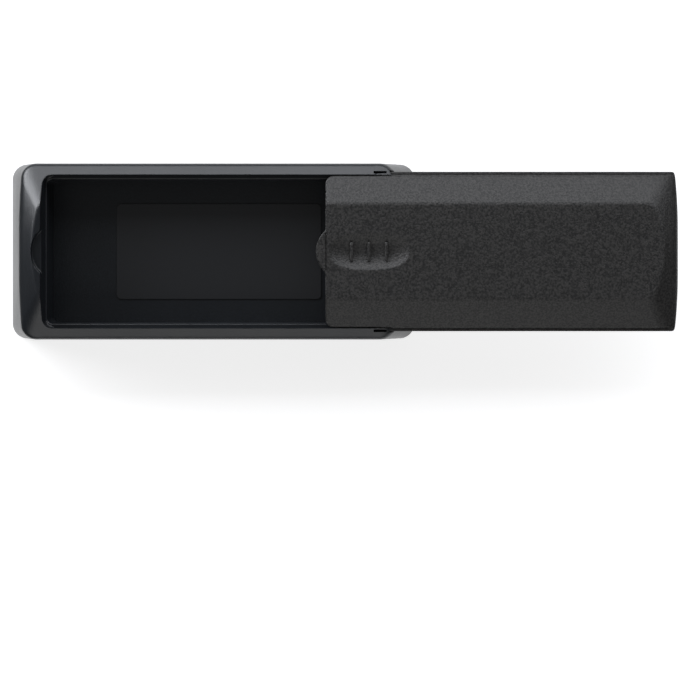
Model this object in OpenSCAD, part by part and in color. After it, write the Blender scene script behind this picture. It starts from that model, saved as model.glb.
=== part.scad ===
// Magnetic key holder box: a moulded tray with a sliding lid, held by magnets in its back.
// Millimetres. The origin is the centre of the tray's back face, +Z points away from the
// surface that the box clings to, and the lid slides open along +X.

/* [Body] */
// Length of the tray at its back face
body_l = 115; // [100:1:140]
// Width of the tray at its back face
body_w = 49.8; // [46:0.2:60]
// Height from the back face to the flat top
body_h = 25; // [23:0.5:32]
// Plan radius of the four upright corners
corner_r = 4.3; // [2:0.1:6]
// Lean of the two end walls, in degrees
end_lean = 16.5; // [8:0.5:19]
// Lean of the two long walls, in degrees
side_lean = 2.2; // [1:0.1:5]
// How far the end walls bow outwards at the top
end_bow = 1.4; // [0.4:0.1:2]

/* [Top form] */
// Distance from each long side of the tray, at its back face, to the flat top
side_bevel = 11.8; // [10.5:0.1:15]
// Distance from each end of the tray, at its back face, to the flat top
end_bevel = 10.3; // [9:0.1:16]
// Radius of the bowed left end of the flat top
flat_left_r = 45; // [25:1:80]
// Radius of the bowed right end of the flat top
flat_right_r = 28; // [22:1:60]
// Corner radius of the flat top
flat_corner_r = 3; // [1:0.2:5]
// Slope of the long bevels, in degrees
side_slope = 28.6; // [20:0.2:32]
// Slope of the end bevels, in degrees
end_slope = 42.3; // [30:0.5:55]
// Width of the flat that softens the shoulder between the walls and the bevels
shoulder_w = 1.2; // [0.4:0.1:2]
// Radius of the bowed ends of that flat
shoulder_end_r = 150; // [80:5:200]

/* [Lid] */
// How far the lid stands open, from closed at 0
lid_open = 77; // [0:0.5:80]
// Distance from the left end of the tray to the lid's left edge
lid_start = 12.9; // [12.5:0.1:16]
// Distance from each long side of the tray, at its back face, to the lid
lid_inset = 4.2; // [4:0.1:6]
// Thickness of the lid's skin
lid_t = 2; // [1.2:0.1:2.4]
// Thickness of the lid's side and end walls
lid_wall = 1.8; // [1.2:0.1:2.2]
// Radius of the lid's left corners
lid_corner_r = 2.2; // [1:0.1:4]
// Radius of the lid's right corners
lid_end_corner_r = 1.2; // [0.5:0.1:2]

/* [Thumb tab] */
// How far the tab stands out of the lid's left edge
tab_reach = 2.6; // [1.5:0.1:3.5]
// Radius of the tab's round nose
tab_r = 7.5; // [5:0.1:9]
// Radius of the fillets at the tab's root
tab_root_r = 1.9; // [0.5:0.1:3]
// Thickness of the tab
tab_t = 1.6; // [1:0.1:2]

/* [Thumb dish] */
// Length of the dish
dish_l = 21.5; // [16:0.5:24]
// Width of the dish
dish_w = 9.8; // [8:0.2:12]
// Depth of the dish
dish_depth = 1.5; // [0.8:0.1:1.8]
// How blunt the dish's ends are, from 2 for an ellipse
dish_blunt = 2.5; // [2:0.1:4]
// Distance from the lid's left edge to the middle of the dish
dish_start = 11.8; // [11.6:0.1:20]
// Number of grip ribs in the dish
grip_count = 3; // [1:1:3]
// Distance from one grip rib to the next
grip_pitch = 4.7; // [3:0.1:5.5]
// Length of a grip rib
grip_l = 5.2; // [3:0.1:6]
// Width of a grip rib
grip_w = 0.8; // [0.5:0.05:1.2]
// How far the top of a grip rib lies below the flat top
grip_below = 0.3; // [0.1:0.05:0.6]

/* [Rails] */
// Height of the ledge that the lid slides on
ledge_z = 17.4; // [16.4:0.1:17.8]
// Height of the groove under each lip
groove_h = 1.5; // [1.2:0.1:1.8]
// How far the lid's tongue reaches under the lip
tongue_reach = 1.2; // [0.5:0.05:1.4]
// Gap between the lid's edges and the lips and bridge
edge_gap = 0.2; // [0.1:0.05:0.4]
// Running gap above and below the lid's tongues
slide_gap = 0.15; // [0.1:0.05:0.3]
// Gap between the tip of a tongue and the groove's wall
tip_gap = 0.25; // [0.15:0.05:0.4]
// Length of the window through each lip
window_l = 3.6; // [2:0.1:5]
// Width of the window through each lip
window_w = 0.7; // [0.4:0.05:0.9]
// Thickness of the thin bar between a window and the lip's edge
window_bar = 0.25; // [0.15:0.05:0.4]
// Distance from the right end of the tray to the middle of the windows
window_end = 11; // [9:0.1:14]

/* [Cavity] */
// How far each long ledge reaches in under the lid
side_ledge = 0.8; // [0.5:0.1:2]
// Width of the ledge at the left end
left_ledge = 0.4; // [0.2:0.1:3]
// Thickness of the low right wall at the ledge
right_wall = 3.6; // [2.5:0.1:5]
// Radius of the cavity's upright corners
cavity_r = 1.6; // [0.5:0.1:3]
// Height of the cavity's floor
floor_z = 7.5; // [7:0.1:9]

/* [Label] */
// Length of the blank label on the floor
label_l = 57.6; // [40:0.2:70]
// Width of the label
label_w = 26.8; // [15:0.2:32]
// Thickness of the label
label_t = 0.3; // [0.2:0.05:0.5]
// Corner radius of the label
label_r = 1.3; // [0.5:0.1:3]

/* [Magnets] */
// Length of each magnet
magnet_l = 38; // [25:0.5:40]
// Width of each magnet
magnet_w = 20; // [12:0.5:26]
// Thickness of each magnet
magnet_t = 5; // [3:0.1:5.2]
// Thickness of the wall round each magnet pocket
pocket_wall = 1.6; // [1:0.1:2.4]
// Gap between a magnet and its pocket's walls
magnet_gap = 0.2; // [0.1:0.05:0.4]
// Thickness of the glue bed over each magnet
glue_t = 0.3; // [0.1:0.05:0.5]

/* [Back] */
// Thickness of the moulded skin round the hollows in the back
skin = 1.6; // [1.2:0.1:1.8]
// Width of the ribs between the hollows
rib_w = 1.2; // [0.8:0.1:2]
// Number of hollows along each long side
side_cells = 6; // [4:1:8]
// Number of hollows across each end
end_cells = 3; // [2:1:4]

/* [Hidden] */
$fn = 48;
bow_steps = 12;
bowl_steps = 24;
slice = 0.01;
past = 1;

// Heights and slopes of the top form
flat_w = body_w - 2 * side_bevel;
flat_l = body_l - 2 * end_bevel;
skirt_drop = 11;
skirt_z = body_h - skirt_drop;
skirt_left_r = 4 * flat_left_r;
skirt_right_r = 4 * flat_right_r;
skirt_corner_r = 2 * flat_corner_r;
side_tan = tan(side_slope);
end_tan = tan(end_slope);
end_lean_tan = tan(end_lean);
side_lean_tan = tan(side_lean);

// The lid's edges, with the lid closed
lid_left = -body_l / 2 + lid_start;
lid_half = body_w / 2 - lid_inset;
lid_base_z = ledge_z + slide_gap;
tongue_half = lid_half + tongue_reach;
tongue_top_z = ledge_z + groove_h - slide_gap;
hollow_w = 2 * (lid_half - lid_wall);
dish_skin = 0.75 * lid_t;

// The track that the lid slides in
track_left = lid_left - edge_gap;
track_half = lid_half + edge_gap;
groove_half = tongue_half + tip_gap;
groove_top_z = ledge_z + groove_h;

// The cavity
cavity_w = 2 * (lid_half - side_ledge);
cavity_left = track_left + left_ledge;
cavity_right = wall_x(ledge_z) - right_wall;
cavity_l = cavity_right - cavity_left;
cavity_mid = (cavity_left + cavity_right) / 2;

// The magnets and their pockets
pocket_l = magnet_l + 2 * magnet_gap;
pocket_w = magnet_w + 2 * magnet_gap;
magnet_pitch = pocket_l + pocket_wall;

// The hollows in the back
bay_l = cavity_l - 2 * skin;
bay_w = cavity_w - 2 * skin;
bay_h = floor_z - skin;
left_cell_h = ledge_z + skin;
right_cell_h = ledge_z - skin;
side_cell_h = ledge_z - 2 * skin;
side_cell_y = cavity_w / 2 + skin;

// Where an end wall stands at a height, and where a long wall does
function wall_x(z) = body_l / 2 - z * end_lean_tan;
function wall_y(z) = body_w / 2 - z * side_lean_tan;
// Where the flat on the shoulder between a wall and its bevel stands at a height
function shoulder_at(foot, top, lean, slope, z) =
    let (
        corner_z = (top + body_h / tan(slope) - foot) / (1 / tan(slope) - tan(lean)),
        rise = (90 - slope + lean) / 2,
        depth = shoulder_w / 2 * tan((90 - slope - lean) / 2)
    )
        foot - corner_z * tan(lean) - (z - corner_z) * tan(rise) - depth / cos(rise);
// Where an end wall meets a corner at a height, drawn in by its bow
function corner_x(z) = wall_x(z) - end_bow * z / body_h;
// How far a bevel's lower edge at the skirt lies outside its upper edge, a depth inside the form
function bevel_run(slope_tan, depth) =
    (body_h - skirt_z - depth * sqrt(1 + slope_tan * slope_tan)) / slope_tan;
// How far a bevel's upper edge moves in, a depth inside the form
function bevel_draw(slope_tan, depth) = depth * (sqrt(1 + slope_tan * slope_tan) - 1) / slope_tan;

// A plate with round corners, standing on z = 0
module plate(l, w, r, h) {
    linear_extrude(h) {
        square([l - 2 * r, w], center = true);
        square([l, w - 2 * r], center = true);
        for (x = [-1, 1], y = [-1, 1])
            translate([x * (l / 2 - r), y * (w / 2 - r)]) circle(r);
    }
}

// The line of one bowed end of a plan outline, as points from one long side to the other
function bow_line(side, reach, half, end_r) = [
    for (i = [0:bow_steps])
        let (y = side * half * (2 * i / bow_steps - 1))
            [side * (reach - end_r + sqrt(end_r * end_r - y * y)), y]
];

// A plan outline with straight sides, bowed ends and round corners
module bowed(half_l, half_w, left_r, right_r, r) {
    offset(r = r, $fn = 32)
        polygon(concat(
            bow_line(-1, half_l - r, half_w - r, left_r - r),
            bow_line(1, half_l - r, half_w - r, right_r - r)
        ));
}

// The leaning walls: a straight-sided foot drawn up to a narrower top with bowed ends
module walls() {
    top_w = wall_y(body_h);
    bow_r = top_w * top_w / (2 * end_bow);
    hull() {
        plate(body_l, body_w, corner_r, slice);
        translate([0, 0, body_h])
            linear_extrude(slice)
                bowed(wall_x(body_h), top_w, bow_r, bow_r, corner_r);
    }
}

// The top form, from the flat top down to a wide upright skirt, or the same form a depth inside it
module top_form(depth = 0) {
    hull() {
        translate([0, 0, body_h - depth - slice])
            linear_extrude(slice)
                bowed(
                    flat_l / 2 - bevel_draw(end_tan, depth),
                    flat_w / 2 - bevel_draw(side_tan, depth),
                    flat_left_r,
                    flat_right_r,
                    flat_corner_r
                );
        translate([0, 0, -past])
            linear_extrude(skirt_z + past)
                bowed(
                    flat_l / 2 + bevel_run(end_tan, depth),
                    flat_w / 2 + bevel_run(side_tan, depth),
                    skirt_left_r,
                    skirt_right_r,
                    skirt_corner_r
                );
    }
}

// The flat all round the shoulder, drawn on up and down
module shoulder_form() {
    hull()
        for (z = [-past, body_h])
            translate([0, 0, z])
                linear_extrude(slice)
                    bowed(
                        shoulder_at(body_l / 2, flat_l / 2, end_lean, end_slope, z),
                        shoulder_at(body_w / 2, flat_w / 2, side_lean, side_slope, z),
                        shoulder_end_r,
                        shoulder_end_r,
                        corner_r
                    );
}

// The outer form of the closed box
module closed_form() {
    intersection() {
        walls();
        top_form();
        shoulder_form();
    }
}

// A plan outline with round left corners, open to the right
module slide_plan(left, half, r) {
    right = body_l / 2 + past;
    translate([left + r, -half]) square([right - left - r, 2 * half]);
    translate([left, r - half]) square([right - left, 2 * (half - r)]);
    for (side = [-1, 1]) translate([left + r, side * (half - r)]) circle(r);
}

// The round thumb tab with filleted roots, in plan; grow gives the pocket round it
module tab_plan(grow) {
    root_x = lid_left - grow;
    nose_r = tab_r + grow;
    fillet_r = tab_root_r - grow;
    centre_x = lid_left - tab_reach + tab_r;
    fillet_x = root_x - fillet_r;
    fillet_y = sqrt(pow(nose_r + fillet_r, 2) - pow(centre_x - fillet_x, 2));
    touch_x = centre_x + (fillet_x - centre_x) * nose_r / (nose_r + fillet_r);
    difference() {
        union() {
            intersection() {
                translate([centre_x, 0]) circle(nose_r);
                translate([centre_x - nose_r, -nose_r])
                    square([root_x - centre_x + nose_r + past, 2 * nose_r]);
            }
            translate([touch_x, -fillet_y]) square([root_x - touch_x + past, 2 * fillet_y]);
        }
        for (side = [-1, 1]) translate([fillet_x, side * fillet_y]) circle(fillet_r);
    }
}

// A long bowl with blunt ends: its plan outline turned about an axis above the flat top
module bowl(grow = 0) {
    rise = (pow(dish_w / 2, 2) - pow(dish_depth, 2)) / (2 * dish_depth);
    translate([lid_left + dish_start, 0, body_h + rise])
        rotate([0, 90, 0])
            rotate_extrude($fn = 96)
                polygon(concat(
                    [[0, dish_l / 2 + grow]],
                    [
                        for (i = [0:bowl_steps])
                            let (
                                turn = 180 * i / bowl_steps,
                                along = sign(cos(turn)) * pow(abs(cos(turn)), 2 / dish_blunt),
                                across = pow(sin(turn), 2 / dish_blunt)
                            )
                                [norm([rise, across * dish_w / 2]) + grow, along * (dish_l / 2 + grow)]
                    ],
                    [[0, -dish_l / 2 - grow]]
                ));
}

// The grip ribs that stand on the floor of the dish
module grips() {
    first = lid_left + dish_start - (grip_count - 1) * grip_pitch / 2;
    for (i = [0:grip_count - 1])
        translate([first + i * grip_pitch - grip_w / 2, -grip_l / 2, body_h - 2 * dish_depth])
            cube([grip_w, grip_l, 2 * dish_depth - grip_below]);
}

// The wedge outside one round right corner of the lid, over a stretch of its height
module end_corner(side, half, low, high) {
    centre_x = corner_x(low) - lid_end_corner_r;
    centre_y = half - lid_end_corner_r;
    translate([0, 0, low])
        linear_extrude(high - low)
            scale([1, side])
                difference() {
                    translate([centre_x, centre_y]) square(lid_end_corner_r + past);
                    translate([centre_x, centre_y]) circle(lid_end_corner_r);
                }
}

// The hollow under the lid, a skin's thickness inside its top and its leaning end wall
module lid_hollow() {
    foot_x = wall_x(0) - end_bow - lid_wall;
    intersection() {
        translate([0, hollow_w / 2, 0])
            rotate([90, 0, 0])
                linear_extrude(hollow_w)
                    polygon([
                        [lid_left + lid_wall, 0],
                        [foot_x, 0],
                        [foot_x - body_h * end_lean_tan, body_h],
                        [lid_left + lid_wall, body_h]
                    ]);
        top_form(lid_t);
    }
}

// The moulded lid where it lies when closed
module lid_closed() {
    difference() {
        intersection() {
            closed_form();
            union() {
                translate([0, 0, lid_base_z])
                    linear_extrude(body_h) slide_plan(lid_left, lid_half, lid_corner_r);
                translate([0, 0, lid_base_z])
                    linear_extrude(tongue_top_z - lid_base_z)
                        slide_plan(lid_left, tongue_half, lid_corner_r);
                translate([0, 0, body_h - tab_t]) linear_extrude(tab_t + past) tab_plan(0);
            }
        }
        difference() {
            lid_hollow();
            bowl(dish_skin);
        }
        difference() {
            bowl();
            grips();
        }
        for (side = [-1, 1]) {
            end_corner(side, tongue_half, lid_base_z - past, tongue_top_z);
            end_corner(side, lid_half, tongue_top_z, body_h);
        }
    }
}

// The hollows in the back at one end: a row of cells that follow the leaning wall
module end_hollows(inner_x, high) {
    across = cavity_w - 2 * skin;
    pitch = (across + rib_w) / end_cells;
    for (i = [0:end_cells - 1])
        translate([0, i * pitch - across / 2, 0])
            rotate([90, 0, 0])
                mirror([0, 0, 1])
                    linear_extrude(pitch - rib_w)
                        polygon([
                            [inner_x, -past],
                            [body_l / 2 - skin + past * end_lean_tan, -past],
                            [wall_x(high) - skin, high],
                            [inner_x, high]
                        ]);
}

// The hollows in the back along one side: a row of narrow cells
module side_hollows() {
    pitch = (bay_l + rib_w) / side_cells;
    for (i = [0:side_cells - 1])
        translate([cavity_left + skin + i * pitch, 0, 0])
            rotate([90, 0, 90])
                linear_extrude(pitch - rib_w)
                    polygon([
                        [side_cell_y, -past],
                        [body_w / 2 - skin + past * side_lean_tan, -past],
                        [wall_y(side_cell_h) - skin, side_cell_h],
                        [side_cell_y, side_cell_h]
                    ]);
}

// The bay in the back round the frames of the magnet pockets
module bay() {
    difference() {
        translate([cavity_mid, 0, -past]) plate(bay_l, bay_w, cavity_r, bay_h + past);
        translate([0, 0, -2 * past])
            plate(magnet_pitch + pocket_l + 2 * pocket_wall, pocket_w + 2 * pocket_wall,
                pocket_wall, floor_z + 2 * past);
    }
}

// One magnet, or with grow its pocket, centred on the back face
module magnet_block(side, grow, high) {
    translate([side * magnet_pitch / 2 - magnet_l / 2 - grow, -magnet_w / 2 - grow, 0])
        cube([magnet_l + 2 * grow, magnet_w + 2 * grow, high]);
}

// The moulded tray
module base_tray() {
    color("#3b3d40")
        difference() {
            closed_form();
            translate([0, 0, ledge_z])
                linear_extrude(body_h) slide_plan(track_left, track_half, lid_corner_r + edge_gap);
            translate([0, 0, ledge_z])
                linear_extrude(groove_h)
                    slide_plan(track_left, groove_half, lid_corner_r + edge_gap);
            translate([0, 0, body_h - tab_t - slide_gap])
                linear_extrude(tab_t + slide_gap + past) tab_plan(edge_gap);
            translate([cavity_mid, 0, floor_z]) plate(cavity_l, cavity_w, cavity_r, body_h);
            for (side = [-1, 1]) {
                translate([
                    body_l / 2 - window_end,
                    side * (track_half + window_bar + window_w / 2),
                    groove_top_z + (body_h - groove_top_z) / 2 - slide_gap
                ])
                    cube([window_l, window_w, body_h - groove_top_z], center = true);
                translate([0, 0, -past]) magnet_block(side, magnet_gap, magnet_t + glue_t + past);
            }
            bay();
            mirror([1, 0, 0]) end_hollows(skin - track_left, left_cell_h);
            end_hollows(cavity_right + skin, right_cell_h);
            side_hollows();
            mirror([0, 1, 0]) side_hollows();
        }
}

// The lid, standing open in its rails
module sliding_lid() {
    color("#2c2c2d") translate([lid_open, 0, 0]) lid_closed();
}

// The blank label on the cavity's floor
module floor_label() {
    color("#1a1b1d") translate([cavity_mid, 0, floor_z]) plate(label_l, label_w, label_r, label_t);
}

// The two magnets, flush with the back face
module magnet_left() {
    color("#3a3a3c") magnet_block(-1, 0, magnet_t);
}

module magnet_right() {
    color("#3a3a3c") magnet_block(1, 0, magnet_t);
}

base_tray();
sliding_lid();
floor_label();
magnet_left();
magnet_right();
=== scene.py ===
import math

import bmesh
import bpy
import numpy as np
from mathutils import Matrix, Vector


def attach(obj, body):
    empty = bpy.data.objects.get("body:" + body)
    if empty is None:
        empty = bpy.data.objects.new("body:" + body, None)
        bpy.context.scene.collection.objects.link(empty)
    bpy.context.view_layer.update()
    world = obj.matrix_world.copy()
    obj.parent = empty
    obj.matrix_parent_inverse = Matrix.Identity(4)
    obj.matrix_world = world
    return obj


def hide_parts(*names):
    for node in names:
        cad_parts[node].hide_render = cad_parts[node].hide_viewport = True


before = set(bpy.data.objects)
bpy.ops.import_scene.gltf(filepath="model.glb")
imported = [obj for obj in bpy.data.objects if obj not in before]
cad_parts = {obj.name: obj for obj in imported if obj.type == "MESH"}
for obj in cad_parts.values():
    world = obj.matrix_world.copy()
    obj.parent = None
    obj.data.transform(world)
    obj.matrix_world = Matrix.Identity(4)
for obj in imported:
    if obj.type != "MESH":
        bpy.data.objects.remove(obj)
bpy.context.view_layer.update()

# ---- The tray --------------------------------------------------------------------------------
# One injection moulding in black ABS with a fine satin spark texture: a low box whose long bevels
# and bowed ends rise to two lips, which hold the lid down in its grooves. Its back is cored out
# round two magnet pockets, to keep the walls even.

MM = 0.001
BODY_L, BODY_W, BODY_H = 115.0, 49.8, 25.0
CORNER_R = 4.3
STRAIGHT_R = 1e5         # the bow's radius at the foot, where the ends are straight
END_TAN = math.tan(math.radians(16.5))
SIDE_TAN = math.tan(math.radians(2.2))
END_BOW = 1.4
FLAT_W, FLAT_L = 26.2, 94.4
FLAT_RIGHT_R, FLAT_LEFT_R, FLAT_CORNER_R = 28.0, 45.0, 3.0
SIDE_SLOPE = math.tan(math.radians(28.6))
END_SLOPE = math.tan(math.radians(42.3))
SKIRT_DROP = 11.0
SHOULDER_SOFT = 1.0      # how far the rounding of the shoulder reaches to each side
FLAT_SOFT = 0.35         # the same for the edge of the flat top

LEDGE_Z, GROOVE_H, LEFT_LEDGE, RIGHT_WALL = 17.4, 1.5, 0.4, 3.6
LID_LEFT, LID_HALF = -BODY_L / 2 + 12.9, 20.7
EDGE_GAP, TIP_GAP, SLIDE_GAP = 0.2, 0.25, 0.15
TONGUE_REACH = 1.2
LID_CORNER_R = 2.2
TAB_REACH, TAB_R, TAB_ROOT_R, TAB_T = 2.6, 7.5, 1.9, 1.6
TAB_ROOT_PAST = 0.12     # how far the tab's fillets run in behind the lid's end
CAVITY_HALF, CAVITY_R, FLOOR_Z = 19.9, 1.6, 7.5
GROOVE_START = 1.8       # how far from the track's left end the grooves begin
TRAY_ROUND = 0.22        # the radius of the tray's moulded edges
MERGE, CUT_STEP = 0.004, 3.0    # how the mesh is cleaned and cut across before it is rounded

# the cored back, the magnet pockets and the windows through the lips
SKIN, RIB_W = 1.6, 1.2
SIDE_CELLS, END_CELLS = 6, 3
POCKET_L, POCKET_W, POCKET_H, POCKET_R = 38.4, 20.4, 5.3, 0.3
WINDOW_L, WINDOW_END, WINDOW_R = 3.6, 10.2, 0.12
WINDOW_BAR, WINDOW_FAR, WINDOW_SLOPE = 0.35, 1.15, 0.5
WINDOW_DEEP, WINDOW_UP = 0.5, 1.6

TURN = np.linspace(0.0, math.pi / 2, 1441)
NORMALS = np.stack([np.cos(TURN), np.sin(TURN)], 1)


def bowed_outline(half_l, half_w, end_r, corner_r):
    """One quarter of a plan outline with a bowed end: a point for each turn of its normal."""
    reach = half_w - corner_r
    meet = math.asin(reach / (end_r - corner_r))
    arc_x = half_l - end_r
    corner_x = arc_x + (end_r - corner_r) * math.cos(meet)
    on_end = TURN <= meet
    x = np.where(on_end, arc_x + end_r * NORMALS[:, 0], corner_x + corner_r * NORMALS[:, 0])
    y = np.where(on_end, end_r * NORMALS[:, 1], reach + corner_r * NORMALS[:, 1])
    return np.stack([x, y], 1)


TOP_W = BODY_W / 2 - BODY_H * SIDE_TAN
WALLS = (bowed_outline(BODY_L / 2, BODY_W / 2, STRAIGHT_R, CORNER_R),
         bowed_outline(BODY_L / 2 - BODY_H * END_TAN, TOP_W, TOP_W ** 2 / (2 * END_BOW), CORNER_R))
BEVELS = [(bowed_outline(FLAT_L / 2 + SKIRT_DROP / END_SLOPE, FLAT_W / 2 + SKIRT_DROP / SIDE_SLOPE,
                         4 * end_r, 2 * FLAT_CORNER_R),
           bowed_outline(FLAT_L / 2, FLAT_W / 2, end_r, FLAT_CORNER_R))
          for end_r in (FLAT_LEFT_R, FLAT_RIGHT_R)]


def face_at(outlines, low_z, z, rays):
    """Where a drawn-up face stands at height z along each ray: its distance from the middle, and
    how fast the true distance inside it falls per step outwards along the ray."""
    low, high = outlines
    outline = low + (high - low) * (z - low_z) / (BODY_H - low_z)
    drop = ((high - low) * NORMALS).sum(1) / (BODY_H - low_z)
    # the straight long side runs on from the last point to the middle plane
    points = np.append(outline, [[0.0, outline[-1, 1]]], 0)
    normals = np.append(NORMALS, NORMALS[-1:], 0)
    drop = np.append(drop, drop[-1])
    angle = np.append(np.arctan2(outline[:, 1], outline[:, 0]), math.pi / 2)
    i = np.minimum(np.interp(rays, angle, np.arange(len(angle))).astype(int), len(angle) - 2)
    start, step = points[i], points[i + 1] - points[i]
    ray = np.stack([np.cos(rays), np.sin(rays)], 1)
    cross = ray[:, 0] * step[:, 1] - ray[:, 1] * step[:, 0]
    flat = np.abs(cross) < 1e-12
    meet = start[:, 0] * step[:, 1] - start[:, 1] * step[:, 0]
    distance = np.where(flat, np.hypot(*start.T), meet / np.where(flat, 1.0, cross))
    return distance, (ray * normals[i]).sum(1) / np.sqrt(1 + drop[i] ** 2)


def soft_min(a, b, reach):
    blend = np.maximum(reach - np.abs(a - b), 0.0) / reach
    return np.minimum(a, b) - blend * blend * reach / 4


def form_radius(rays, z, bevels, depth):
    """The closed box's outer form at height z: its distance from the middle along each ray, or
    that of the form a depth inside its top and bevels."""
    wall_r, wall_rate = face_at(WALLS, 0.0, z, rays)
    bevel_r, bevel_rate = face_at(bevels, BODY_H - SKIRT_DROP, z, rays)
    low, high = np.zeros_like(rays), np.maximum(wall_r, bevel_r) + 1
    for _ in range(44):  # halved until nothing is left between the two
        mid = (low + high) / 2
        inside = soft_min((bevel_r - mid) * bevel_rate - depth, BODY_H - depth - z, FLAT_SOFT)
        if not depth:
            inside = soft_min((wall_r - mid) * wall_rate, inside, SHOULDER_SOFT)
        high = np.where(inside < 0, mid, high)
        low = np.where(inside < 0, low, mid)
    return low


def new_object(name, points, faces):
    """A mesh object from points in millimetres."""
    mesh = bpy.data.meshes.new(name)
    mesh.from_pydata((np.asarray(points, float) * MM).tolist(), [], faces)
    mesh.validate()
    obj = bpy.data.objects.new(name, mesh)
    bpy.context.scene.collection.objects.link(obj)
    return obj


def closed_form(name, depth=0.0):
    """The outer form as one closed mesh of rings, from the foot to the flat top, or the form that
    lies a depth inside its top and bevels."""
    # the rays lie close at the corners and the rings close at the shoulder and the top
    quarter = np.radians(np.concatenate([
        np.arange(0, 9, 0.5), np.arange(9, 30, 0.2), np.arange(30, 90, 2.5), [90.0]]))
    rays = np.concatenate([
        quarter, np.pi - quarter[-2::-1], np.pi + quarter[1:], 2 * np.pi - quarter[-2:0:-1]])
    folded = np.arctan2(np.abs(np.sin(rays)), np.abs(np.cos(rays)))
    heights = np.concatenate([
        [0.0, 5.0, 10.0, 14.0], np.arange(15.0, 24.4, 0.16), np.arange(24.4, 24.98, 0.07),
        [24.985, 24.996, 25.0]])
    if depth:
        heights = heights[heights > BODY_H - SKIRT_DROP] - depth
    n = len(rays)
    rings = []
    for z in heights:
        left, right = (form_radius(folded, z, bevels, depth) for bevels in BEVELS)
        r = np.where(np.cos(rays) < 0, left, right)
        rings.append(np.stack([r * np.cos(rays), r * np.sin(rays), np.full(n, z)], 1))
    faces = [tuple(range(n))[::-1]]
    for k in range(len(heights) - 1):
        a, b = k * n, (k + 1) * n
        faces += [(a + i, a + (i + 1) % n, b + (i + 1) % n, b + i) for i in range(n)]
    faces.append(tuple(range((len(heights) - 1) * n, len(heights) * n)))
    return new_object(name, np.concatenate(rings), faces)


def prism(name, outline, low, high, top=None):
    """A block over a plan outline, or drawn up to another outline at its top."""
    n = len(outline)
    points = [(x, y, low) for x, y in outline] + [(x, y, high) for x, y in top or outline]
    faces = [tuple(range(n))[::-1], tuple(range(n, 2 * n))]
    faces += [(i, (i + 1) % n, n + (i + 1) % n, n + i) for i in range(n)]
    return new_object(name, points, faces)


def arc(cx, cy, r, start, end, steps):
    """Points round a centre, from one angle in degrees to another."""
    return [(cx + r * math.cos(math.radians(a)), cy + r * math.sin(math.radians(a)))
            for a in np.linspace(start, end, steps)]


def plate_outline(cx, cy, length, width, r, steps=9):
    """A rectangle with round corners."""
    x, y = length / 2 - r, width / 2 - r
    return (arc(cx + x, cy + y, r, 0, 90, steps) + arc(cx - x, cy + y, r, 90, 180, steps)
            + arc(cx - x, cy - y, r, 180, 270, steps) + arc(cx + x, cy - y, r, 270, 360, steps))


def slide_outline(left, half, r, right=BODY_L / 2 + 1):
    """A plan with round left corners, open to the right."""
    return ([(right, -half), (right, half)] + arc(left + r, half - r, r, 90, 180, 11)
            + arc(left + r, r - half, r, 180, 270, 11))


def tab_outline(grow, root):
    """The round thumb tab with filleted roots, closed off at x = root."""
    # the fillets run a little past the lid's end, so that they meet it at a clear angle
    root_x = LID_LEFT - grow + TAB_ROOT_PAST
    nose_r, fillet_r = TAB_R + grow, TAB_ROOT_R - grow
    centre_x = LID_LEFT - TAB_REACH + TAB_R
    fillet_x = root_x - fillet_r
    fillet_y = math.sqrt((nose_r + fillet_r) ** 2 - (centre_x - fillet_x) ** 2)
    touch = math.degrees(math.atan2(fillet_y, fillet_x - centre_x))
    nose = arc(centre_x, 0, nose_r, touch, 360 - touch, 41)
    low = arc(fillet_x, -fillet_y, fillet_r, 180 - touch, 0, 9)
    high = arc(fillet_x, fillet_y, fillet_r, 0, touch - 180, 9)
    return [(root, fillet_y)] + high[:-1] + nose + low[1:] + [(root, -fillet_y)]


def applied(obj):
    """Turns what an object's modifiers make of it into its own plain mesh."""
    evaluated = obj.evaluated_get(bpy.context.evaluated_depsgraph_get())
    mesh = bpy.data.meshes.new_from_object(evaluated)
    obj.modifiers.clear()
    obj.data = mesh
    return obj


def combine(obj, others, how):
    """obj with the others cut away, joined on or kept in common; the others are used up."""
    for other in others:
        cut = obj.modifiers.new(how, "BOOLEAN")
        cut.operation, cut.object, cut.solver = how, other, "MANIFOLD"
        applied(obj)
        bpy.data.objects.remove(other)
    return obj


def round_edges(obj, radius, above=-1.0, limit=25):
    """Rounds the creases of a moulding above a height, as the cutter and the melt leave them."""
    mesh = bmesh.new()
    mesh.from_mesh(obj.data)
    bmesh.ops.remove_doubles(mesh, verts=mesh.verts, dist=MERGE * MM)
    bmesh.ops.dissolve_degenerate(mesh, edges=mesh.edges, dist=MERGE * MM)
    # long slivers would fold over as their ends move, so the mesh is cut across first
    cuts = [((x, 0, 0), (1, 0, 0)) for x in np.arange(-55.1, 56, CUT_STEP)]
    cuts += [((0, y, 0), (0, 1, 0)) for y in np.arange(-22.6, 23, CUT_STEP)]
    for place, across in cuts:
        bmesh.ops.bisect_plane(mesh, geom=[*mesh.verts, *mesh.edges, *mesh.faces], dist=1e-7,
                               plane_co=[v * MM for v in place], plane_no=across)
    places = np.array([vertex.co for vertex in mesh.verts])
    low, high = places.min(0), places.max(0)
    weight = mesh.edges.layers.float.new("bevel_weight_edge")
    for edge in mesh.edges:
        crease = edge.calc_face_angle(0.0) > math.radians(limit)
        edge[weight] = float(crease and min(v.co.z for v in edge.verts) > above * MM)
    mesh.to_mesh(obj.data)
    mesh.free()
    rounding = obj.modifiers.new("edges", "BEVEL")
    rounding.width, rounding.segments, rounding.limit_method = radius * MM, 2, "WEIGHT"
    rounding.use_clamp_overlap = False
    applied(obj)
    # no rounded corner may reach past the sharp form's own box
    places = np.zeros(3 * len(obj.data.vertices), np.float32)
    obj.data.vertices.foreach_get("co", places)
    obj.data.vertices.foreach_set("co", np.clip(places.reshape(-1, 3), low, high).ravel())
    return obj


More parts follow.
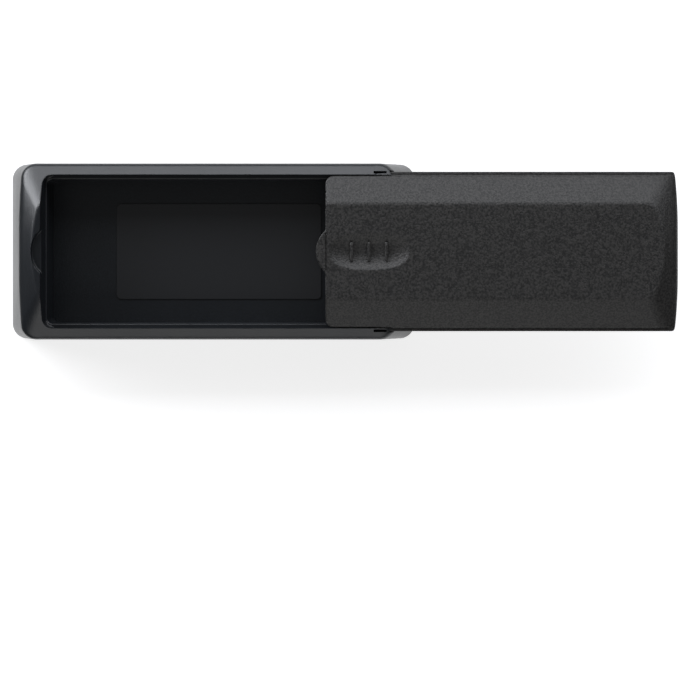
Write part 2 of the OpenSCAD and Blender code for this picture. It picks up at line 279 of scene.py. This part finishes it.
def smooth_faces(obj):
    """Even shading: large faces stay flat, rounded edges turn, and what is left sharp stays so."""
    mesh = bmesh.new()
    mesh.from_mesh(obj.data)
    for face in mesh.faces:
        face.smooth = True
    for edge in mesh.edges:
        edge.smooth = edge.calc_face_angle(0.0) < math.radians(50)
    mesh.to_mesh(obj.data)
    mesh.free()
    even = obj.modifiers.new("even", "WEIGHTED_NORMAL")
    even.mode, even.weight, even.keep_sharp = "FACE_AREA", 100, True
    return applied(obj)


def hex_colour(code):
    """An sRGB hex colour as linear red, green, blue and alpha."""
    parts = [int(code[i:i + 2], 16) / 255 for i in (1, 3, 5)]
    return [c / 12.92 if c <= 0.04045 else ((c + 0.055) / 1.055) ** 2.4 for c in parts] + [1.0]


def add_node(tree, kind, settings=(), links=()):
    """Adds a node, sets its properties or its input sockets, and links sockets to it."""
    node = tree.nodes.new(kind)
    for key, value in dict(settings).items():
        if isinstance(key, str) and hasattr(node, key):
            setattr(node, key, value)
        else:
            node.inputs[key].default_value = value
    for key, source in dict(links).items():
        tree.links.new(source, node.inputs[key])
    return node


def new_material(name):
    material = bpy.data.materials.new(name)
    material.use_nodes = True
    material.node_tree.nodes.clear()
    return material, material.node_tree


# Injection-moulded ABS with a satin spark texture: near black with a cool cast, a soft broad
# sheen, and a grain that only breaks up the highlights. The real grain is finer than the 0.4 mm
# drawn here, which is as coarse as it needs to be to show.
tray_abs, tree = new_material("abs_satin_moulded")
place = add_node(tree, "ShaderNodeTexCoord").outputs["Object"]
grain = add_node(tree, "ShaderNodeTexNoise", {"Scale": 2600.0, "Detail": 2.0}, {"Vector": place})
flow = add_node(tree, "ShaderNodeTexNoise", {"Scale": 70.0, "Detail": 3.0}, {"Vector": place})
rough = add_node(tree, "ShaderNodeMapRange", {"To Min": 0.3, "To Max": 0.4},
                 {"Value": flow.outputs["Fac"]})
bump = add_node(tree, "ShaderNodeBump", {"Strength": 0.5, "Distance": 0.00008},
                {"Height": grain.outputs["Fac"]})
shade = add_node(tree, "ShaderNodeMix", {"data_type": "RGBA"}, {"Factor": grain.outputs["Fac"]})
shade.inputs[6].default_value = hex_colour("#0b0e11")
shade.inputs[7].default_value = hex_colour("#171b20")
shader = add_node(tree, "ShaderNodeBsdfPrincipled", {"IOR": 1.54},
                  {"Base Color": shade.outputs[2], "Roughness": rough.outputs["Result"],
                   "Normal": bump.outputs["Normal"]})
add_node(tree, "ShaderNodeOutputMaterial", (), {"Surface": shader.outputs["BSDF"]})

# Cells in a row, for the cored back and later for the grip ribs: the piece is set out along a
# line from a first place, and every copy takes the one finish.
row_rule = bpy.data.node_groups.new("evenly_spaced_row", "GeometryNodeTree")
for way, socket_name, kind in (
        ("INPUT", "Piece", "Geometry"), ("INPUT", "Count", "Int"), ("INPUT", "First", "Vector"),
        ("INPUT", "Step", "Vector"), ("INPUT", "Finish", "Material"),
        ("OUTPUT", "Row", "Geometry")):
    row_rule.interface.new_socket(socket_name, in_out=way, socket_type="NodeSocket" + kind)
given = add_node(row_rule, "NodeGroupInput").outputs
line = add_node(row_rule, "GeometryNodeMeshLine", {"mode": "OFFSET"},
                {"Count": given["Count"], "Start Location": given["First"], "Offset": given["Step"]})
copies = add_node(row_rule, "GeometryNodeInstanceOnPoints", (),
                  {"Points": line.outputs["Mesh"], "Instance": given["Piece"]})
solid = add_node(row_rule, "GeometryNodeRealizeInstances", (),
                 {"Geometry": copies.outputs["Instances"]})
finish = add_node(row_rule, "GeometryNodeSetMaterial", (),
                  {"Geometry": solid.outputs["Geometry"], "Material": given["Finish"]})
add_node(row_rule, "NodeGroupOutput", (), {"Row": finish.outputs["Geometry"]})


def in_a_row(obj, count, first, step, material):
    """Repeats an object's mesh at even steps, in millimetres."""
    rule = obj.modifiers.new("row", "NODES")
    rule.node_group = row_rule
    values = {"Count": count, "First": [v * MM for v in first], "Step": [v * MM for v in step],
              "Finish": material}
    for socket in row_rule.interface.items_tree:
        if socket.in_out == "INPUT" and socket.name in values:
            rule[socket.identifier] = values[socket.name]
    return applied(obj)


def leaning_cell(name, inner, outer_foot, outer_top, high, length, along_x):
    """One hollow of the back: a cell of a length, closed at its top, whose outer face leans."""
    side = [(inner, -1.0), (outer_foot, -1.0), (outer_top, high), (inner, high)]
    points = [(t, a, z) if along_x else (a, t, z) for t in (0.0, length) for a, z in side]
    cell = new_object(name, points, [(0, 1, 2, 3), (7, 6, 5, 4)]
                      + [(i, i + 4, (i + 1) % 4 + 4, (i + 1) % 4) for i in range(4)])
    mesh = bmesh.new()
    mesh.from_mesh(cell.data)
    bmesh.ops.recalc_face_normals(mesh, faces=mesh.faces)
    mesh.to_mesh(cell.data)
    mesh.free()
    return cell


track_left, track_half = LID_LEFT - EDGE_GAP, LID_HALF + EDGE_GAP
track_r = LID_CORNER_R + EDGE_GAP
groove_half, groove_top = LID_HALF + TONGUE_REACH + TIP_GAP, LEDGE_Z + GROOVE_H
cavity_left = track_left + LEFT_LEDGE
cavity_right = BODY_L / 2 - LEDGE_Z * END_TAN - RIGHT_WALL
cavity_l = cavity_right - cavity_left
cavity_mid = (cavity_left + cavity_right) / 2
pocket_pitch = POCKET_L + SKIN

tray = closed_form("tray_moulding")
combine(tray, [
    prism("track", slide_outline(track_left, track_half, track_r), LEDGE_Z, BODY_H + 5),
    prism("groove", slide_outline(track_left + GROOVE_START, groove_half, track_r),
          LEDGE_Z, groove_top),
    prism("tab_pocket", tab_outline(EDGE_GAP, LID_LEFT + 1),
          BODY_H - TAB_T - SLIDE_GAP, BODY_H + 5),
    prism("cavity", plate_outline(cavity_mid, 0, cavity_l, 2 * CAVITY_HALF, CAVITY_R),
          FLOOR_Z, BODY_H + 5),
], "DIFFERENCE")
round_edges(tray, TRAY_ROUND, above=FLOOR_Z + 0.1)

# the cored back: a bay round the magnet frames, and rows of cells along the sides and ends
bay = prism("bay", plate_outline(cavity_mid, 0, cavity_l - 2 * SKIN, 2 * (CAVITY_HALF - SKIN),
                                 CAVITY_R), -1, FLOOR_Z - SKIN)
frames = prism("frames", plate_outline(0, 0, pocket_pitch + POCKET_L + 2 * SKIN,
                                       POCKET_W + 2 * SKIN, SKIN), -2, 9)
combine(bay, [frames], "DIFFERENCE")
cores = [bay]
step_x = (cavity_l - 2 * SKIN + RIB_W) / SIDE_CELLS
cell_h = LEDGE_Z - 2 * SKIN
for side in (-1, 1):
    cell = leaning_cell("side_cell", side * (CAVITY_HALF + SKIN),
                        side * (BODY_W / 2 - SKIN + SIDE_TAN),
                        side * (BODY_W / 2 - cell_h * SIDE_TAN - SKIN), cell_h, step_x - RIB_W, True)
    cores.append(in_a_row(cell, SIDE_CELLS, (cavity_left + SKIN, 0, 0), (step_x, 0, 0), tray_abs))
step_y = (2 * (CAVITY_HALF - SKIN) + RIB_W) / END_CELLS
for side, inner, cell_h in ((-1, track_left - SKIN, LEDGE_Z + SKIN),
                            (1, cavity_right + SKIN, LEDGE_Z - SKIN)):
    cell = leaning_cell("end_cell", inner, side * (BODY_L / 2 - SKIN + END_TAN),
                        side * (BODY_L / 2 - cell_h * END_TAN - SKIN), cell_h, step_y - RIB_W, False)
    cores.append(in_a_row(cell, END_CELLS, (0, SKIN - CAVITY_HALF, 0), (0, step_y, 0), tray_abs))
# the lips' windows, whose inner wall slopes, and the magnet pockets
for side in (-1, 1):
    bar_y, far_y = track_half + WINDOW_BAR, track_half + WINDOW_FAR
    low, high = (
        plate_outline(BODY_L / 2 - WINDOW_END, side * (near_y + far_y) / 2, WINDOW_L,
                      far_y - near_y, WINDOW_R, 4)
        for near_y in (bar_y + WINDOW_SLOPE, bar_y))
    cores.append(prism("window", low, groove_top - WINDOW_DEEP, groove_top + WINDOW_UP, high))
    pocket = plate_outline(side * pocket_pitch / 2, 0, POCKET_L, POCKET_W, POCKET_R, 3)
    cores.append(prism("magnet_pocket", pocket, -1, POCKET_H))
combine(tray, cores, "DIFFERENCE")
smooth_faces(tray)
tray.data.materials.clear()
tray.data.materials.append(tray_abs)
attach(tray, "tray")
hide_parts("base_tray")

# ---- The magnets -----------------------------------------------------------------------------
# Two sintered ferrite blocks, glued into the pockets in the tray's back with their pole faces
# flush, so that they lie right against the steel that the box clings to.

MAGNET_L, MAGNET_W, MAGNET_H, MAGNET_R, MAGNET_ROUND = 38.0, 20.0, 5.0, 0.4, 0.3

# Sintered ferrite, ground flat: dark grey and dull, with fine pits of about 0.7 mm.
ferrite, tree = new_material("sintered_ferrite_ground")
place = add_node(tree, "ShaderNodeTexCoord").outputs["Object"]
pits = add_node(tree, "ShaderNodeTexNoise", {"Scale": 1500.0, "Detail": 4.0}, {"Vector": place})
bump = add_node(tree, "ShaderNodeBump", {"Strength": 0.3, "Distance": 0.00008},
                {"Height": pits.outputs["Fac"]})
shade = add_node(tree, "ShaderNodeMix", {"data_type": "RGBA"}, {"Factor": pits.outputs["Fac"]})
shade.inputs[6].default_value = hex_colour("#2f2f31")
shade.inputs[7].default_value = hex_colour("#4a4a4c")
shader = add_node(tree, "ShaderNodeBsdfPrincipled", {"Roughness": 0.5, "IOR": 1.8},
                  {"Base Color": shade.outputs[2], "Normal": bump.outputs["Normal"]})
add_node(tree, "ShaderNodeOutputMaterial", (), {"Surface": shader.outputs["BSDF"]})
for name, side in (("magnet_left", -1), ("magnet_right", 1)):
    magnet = prism(name + "_block", plate_outline(side * pocket_pitch / 2, 0, MAGNET_L, MAGNET_W,
                                                  MAGNET_R, 4), 0, MAGNET_H)
    smooth_faces(round_edges(magnet, MAGNET_ROUND))
    magnet.data.materials.append(ferrite)
    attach(magnet, "tray")
    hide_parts(name)

# ---- The label -------------------------------------------------------------------------------
# A thin black polyester film, die cut with round corners and stuck on the cavity's floor. It is
# bare; its smooth face mirrors more light than the moulded floor round it.

LABEL_L, LABEL_W, LABEL_R, LABEL_T, LABEL_ROUND = 57.6, 26.8, 1.3, 0.3, 0.08

# Glossy black polyester film: smooth, with faint waves about 11 mm long from the floor below.
film, tree = new_material("polyester_film_gloss")
place = add_node(tree, "ShaderNodeTexCoord").outputs["Object"]
waves = add_node(tree, "ShaderNodeTexNoise", {"Scale": 90.0, "Detail": 1.0}, {"Vector": place})
bump = add_node(tree, "ShaderNodeBump", {"Strength": 0.15, "Distance": 0.0002},
                {"Height": waves.outputs["Fac"]})
shader = add_node(tree, "ShaderNodeBsdfPrincipled",
                  {"Base Color": hex_colour("#252628"), "Roughness": 0.25, "IOR": 1.57},
                  {"Normal": bump.outputs["Normal"]})
add_node(tree, "ShaderNodeOutputMaterial", (), {"Surface": shader.outputs["BSDF"]})
label = prism("label_film", plate_outline(cavity_mid, 0, LABEL_L, LABEL_W, LABEL_R),
              FLOOR_Z, FLOOR_Z + LABEL_T)
smooth_faces(round_edges(label, LABEL_ROUND))
label.data.materials.append(film)
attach(label, "tray")
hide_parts("floor_label")

# ---- The sliding lid -------------------------------------------------------------------------
# One moulding in black ABS with a coarse etched grain, so that it grips: a hollow cover whose
# side tongues run under the tray's lips. The tab and the dish with its ribs are for the thumb.

LID_OPEN = 77.0
LID_BASE_Z, TONGUE_TOP = LEDGE_Z + SLIDE_GAP, LEDGE_Z + GROOVE_H - SLIDE_GAP
LID_T, LID_WALL, END_CORNER_R = 2.0, 1.8, 1.2
DISH_L, DISH_W, DISH_DEPTH, DISH_BLUNT, DISH_START = 21.5, 9.8, 1.5, 2.5, 11.8
DISH_SOFT = 0.22         # how far the rounding of the dish's rim reaches
DISH_STEP = 0.14         # from one point of the dish's mesh to the next
TONGUE_START = 2.5       # how far from the lid's left end the tongues begin
LID_ROUND = 0.25         # the radius of the lid's moulded edges
LINE_X, LINE_DEEP = 0.15, 0.25
LINE_FOOT, LINE_MOUTH = (0.1, 5.0), (0.4, 5.2)
GRIPS, GRIP_PITCH, GRIP_L, GRIP_W, GRIP_BELOW = 3, 4.7, 5.2, 0.8, 0.3
GRIP_R, GRIP_ROUND = 0.38, 0.22

# Injection-moulded ABS with a coarse etched grain of about 0.5 mm: near black, with a broad dull
# sheen in which each grain shows as a light or a dark speck.
lid_abs, tree = new_material("abs_coarse_grain_moulded")
place = add_node(tree, "ShaderNodeTexCoord").outputs["Object"]
grain = add_node(tree, "ShaderNodeTexNoise", {"Scale": 1900.0, "Detail": 2.0, "Roughness": 0.6},
                 {"Vector": place})
bump = add_node(tree, "ShaderNodeBump", {"Strength": 0.8, "Distance": 0.0002},
                {"Height": grain.outputs["Fac"]})
peaks = add_node(tree, "ShaderNodeMapRange", {"From Min": 0.4, "From Max": 0.6},
                 {"Value": grain.outputs["Fac"]})
shade = add_node(tree, "ShaderNodeMix", {"data_type": "RGBA"}, {"Factor": peaks.outputs["Result"]})
shade.inputs[6].default_value = hex_colour("#050505")
shade.inputs[7].default_value = hex_colour("#2b2a29")
shader = add_node(tree, "ShaderNodeBsdfPrincipled", {"Roughness": 0.5, "IOR": 1.5},
                  {"Base Color": shade.outputs[2], "Normal": bump.outputs["Normal"]})
add_node(tree, "ShaderNodeOutputMaterial", (), {"Surface": shader.outputs["BSDF"]})

lid = closed_form("lid_moulding")
blank = prism("blank", slide_outline(LID_LEFT, LID_HALF, LID_CORNER_R, BODY_L),
              LID_BASE_Z, BODY_H + 5)
combine(blank, [
    prism("tongues", slide_outline(LID_LEFT + TONGUE_START, LID_HALF + TONGUE_REACH, LID_CORNER_R,
                                   BODY_L), LID_BASE_Z, TONGUE_TOP),
    prism("tab", tab_outline(0, LID_LEFT + 1), BODY_H - TAB_T + SLIDE_GAP, BODY_H + 5),
], "UNION")
combine(lid, [blank], "INTERSECT")

# the hollow under the lid, and what rounds its right corners off
foot_x, side_y = BODY_L / 2 - END_BOW - LID_WALL, LID_HALF - LID_WALL
hollow = prism("hollow",
               [(LID_LEFT + LID_WALL, -side_y), (foot_x, -side_y), (foot_x, side_y),
                (LID_LEFT + LID_WALL, side_y)], 0, BODY_H,
               [(LID_LEFT + LID_WALL, -side_y), (foot_x - BODY_H * END_TAN, -side_y),
                (foot_x - BODY_H * END_TAN, side_y), (LID_LEFT + LID_WALL, side_y)])
combine(hollow, [closed_form("inner_form", LID_T)], "INTERSECT")
corners = []
for side in (-1, 1):
    for half, low_z, high_z in ((LID_HALF + TONGUE_REACH, LID_BASE_Z - 1, TONGUE_TOP),
                                (LID_HALF, TONGUE_TOP, BODY_H + 1)):
        wall = BODY_L / 2 - low_z * END_TAN - END_BOW * low_z / BODY_H
        cx, cy = wall - END_CORNER_R, side * (half - END_CORNER_R)
        bend = arc(cx, cy, END_CORNER_R, 0, side * 90, 9)
        corner = [(cx + 3, cy), *bend, (cx, cy + side * 3), (cx + 3, cy + side * 3)]
        corners.append(prism("corner", corner[::-1] if side > 0 else corner, low_z, high_z))


def dish_depth_at(x, y):
    """How deep the thumb dish lies at a place: a blunt oval turned about an axis over the lid."""
    rise = ((DISH_W / 2) ** 2 - DISH_DEPTH ** 2) / (2 * DISH_DEPTH)
    left = 1 - np.abs(2 * (x - LID_LEFT - DISH_START) / DISH_L) ** DISH_BLUNT
    across = np.sign(left) * np.abs(left) ** (2 / DISH_BLUNT) * (DISH_W / 2) ** 2
    return np.sqrt(np.maximum(rise ** 2 + across - y ** 2, 0.0)) - rise


def dish_form(name, grow, soft):
    """A block that cuts the dish with a rounded rim, or with grow the skin round it."""
    xs = (np.arange(-DISH_L / 2 - 1.5 - grow, DISH_L / 2 + 1.5 + grow, DISH_STEP)
          + LID_LEFT + DISH_START)
    ys = np.arange(-DISH_W / 2 - 1.0 - grow, DISH_W / 2 + 1.0 + grow, DISH_STEP)
    x, y = np.meshgrid(xs, ys, indexing="ij")
    depth = dish_depth_at(x, y)
    floor = -soft_min(-depth, np.zeros_like(depth), soft)
    lift = 0.4 * np.maximum(-depth - 0.8 * soft, 0.0)
    low = BODY_H - floor - grow * (depth > -soft) + lift
    nx, ny = x.shape
    points = [np.stack([x, y, z], 2).reshape(-1, 3) for z in (low, np.full_like(low, BODY_H + 3))]
    at = np.arange(nx * ny).reshape(nx, ny)
    quads = np.stack([at[:-1, :-1], at[:-1, 1:], at[1:, 1:], at[1:, :-1]], 2).reshape(-1, 4)
    faces = quads.tolist() + (quads[:, ::-1] + nx * ny).tolist()
    rim = np.concatenate([at[:-1, 0], at[-1, :-1], at[:0:-1, -1], at[0, :0:-1]])
    faces += [(int(b), int(a), int(a) + nx * ny, int(b) + nx * ny)
              for a, b in zip(rim, np.roll(rim, -1))]
    cutter = new_object(name, np.concatenate(points), faces)
    mesh = bmesh.new()
    mesh.from_mesh(cutter.data)
    bmesh.ops.recalc_face_normals(mesh, faces=mesh.faces)
    mesh.to_mesh(cutter.data)
    mesh.free()
    return cutter


combine(hollow, [dish_form("dish_skin", 0.75 * LID_T, 0.3)], "DIFFERENCE")
combine(lid, [hollow, *corners], "DIFFERENCE")
round_edges(lid, LID_ROUND)
# a fine line marks off the tab from the flat top
foot, mouth = (
    [(LID_LEFT + LINE_X + a * half_w, b * half_l) for a, b in ((-1, -1), (1, -1), (1, 1), (-1, 1))]
    for half_w, half_l in (LINE_FOOT, LINE_MOUTH))
line = prism("line", foot, BODY_H - LINE_DEEP, BODY_H + LINE_DEEP, mouth)
combine(lid, [dish_form("dish", 0.0, DISH_SOFT), line], "DIFFERENCE")
rib = prism("grip_ribs", plate_outline(0, 0, GRIP_W, GRIP_L, GRIP_R, 5),
            BODY_H - DISH_DEPTH - 0.7, BODY_H - GRIP_BELOW)
round_edges(rib, GRIP_ROUND)
first_rib = LID_LEFT + DISH_START - GRIP_PITCH * (GRIPS - 1) / 2
combine(lid, [in_a_row(rib, GRIPS, (first_rib, 0, 0), (GRIP_PITCH, 0, 0), lid_abs)], "UNION")
lid.data.transform(Matrix.Translation((LID_OPEN * MM, 0, 0)))
smooth_faces(lid)
lid.data.materials.clear()
lid.data.materials.append(lid_abs)
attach(lid, "lid")
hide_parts("sliding_lid")

# ---- Studio ----------------------------------------------------------------------------------
# A small white board in a dim room, a long soft light beyond the box's far side that turns the
# left corner, a weaker one on the near side, and a camera straight overhead.

BOARD_X, BOARD_Y = 38.75, -25.0
BOARD_L, BOARD_W, BOARD_R, BOARD_T = 208.5, 220.0, 10.0, 0.2

# Matt white painted board: it takes the shadow, and glows a little where it is seen or mirrored.
floor = prism("table_top", plate_outline(BOARD_X, BOARD_Y, BOARD_L, BOARD_W, BOARD_R),
              -BOARD_T, 0)
white, tree = new_material("white_table")
rays = add_node(tree, "ShaderNodeLightPath").outputs
seen = add_node(tree, "ShaderNodeMath", {"operation": "MAXIMUM"},
                {0: rays["Is Camera Ray"], 1: rays["Is Glossy Ray"]})
seen = add_node(tree, "ShaderNodeMath", {"operation": "MAXIMUM"},
                {0: seen.outputs[0], 1: rays["Is Transmission Ray"]})
lift = add_node(tree, "ShaderNodeMath", {"operation": "MULTIPLY", 1: 0.7}, {0: seen.outputs[0]})
matt = add_node(tree, "ShaderNodeBsdfDiffuse", {"Color": hex_colour("#c8c8c8")})
glow = add_node(tree, "ShaderNodeEmission", {"Color": (1, 1, 1, 1)}, {"Strength": lift.outputs[0]})
both = add_node(tree, "ShaderNodeAddShader", (), {0: matt.outputs[0], 1: glow.outputs[0]})
add_node(tree, "ShaderNodeOutputMaterial", (), {"Surface": both.outputs[0]})
floor.data.materials.append(white)


def soft_light(name, place, target, width, height, power, colour):
    """A rectangular soft box at a place in metres, turned to a target."""
    data = bpy.data.lights.new(name, "AREA")
    data.shape, data.size, data.size_y = "RECTANGLE", width, height
    data.energy, data.color = power, hex_colour(colour)[:3]
    lamp = bpy.data.objects.new(name, data)
    bpy.context.scene.collection.objects.link(lamp)
    lamp.location = place
    lamp.rotation_euler = (Vector(target) - lamp.location).to_track_quat("-Z", "Y").to_euler()


soft_light("far_side", (0.0, 1.2, 0.78), (0.0, 0, 0.02), 6.4, 0.9, 63, "#f8faff")
soft_light("far_left", (-1.1, 0.69, 0.38), (0.0, 0, 0.02), 0.9, 0.75, 15, "#f8faff")
soft_light("near_side", (0.03, -1.2, 0.9), (0.03, 0, 0.02), 2.0, 1.1, 8.5, "#ffffff")

world = bpy.data.worlds.new("studio")
bpy.context.scene.world = world
world.use_nodes = True
world.node_tree.nodes.clear()
tree = world.node_tree
rays = add_node(tree, "ShaderNodeLightPath").outputs
room = add_node(tree, "ShaderNodeBackground", {"Color": hex_colour("#ffffff"), "Strength": 0.1})
back = add_node(tree, "ShaderNodeBackground", {"Color": hex_colour("#ffffff"), "Strength": 1.0})
pick = add_node(tree, "ShaderNodeMixShader", (), {
    "Fac": rays["Is Camera Ray"], 1: room.outputs[0], 2: back.outputs[0]})
add_node(tree, "ShaderNodeOutputWorld", (), {"Surface": pick.outputs[0]})

scene = bpy.context.scene
scene.view_settings.view_transform = "Standard"
# Lens and height were fitted to the two pictures of the box. The shifts are in pixels of a
# picture 700 wide, in which the open box lies above the middle.
lens = bpy.data.cameras.new("overhead")
lens.lens, lens.sensor_width = 80.8, 36.0
lens.shift_x, lens.shift_y = 2 / 700, -98.5 / 700
camera = bpy.data.objects.new("overhead", lens)
scene.collection.objects.link(camera)
camera.location = (0.0385, 0.0, 0.45)
scene.camera = camera
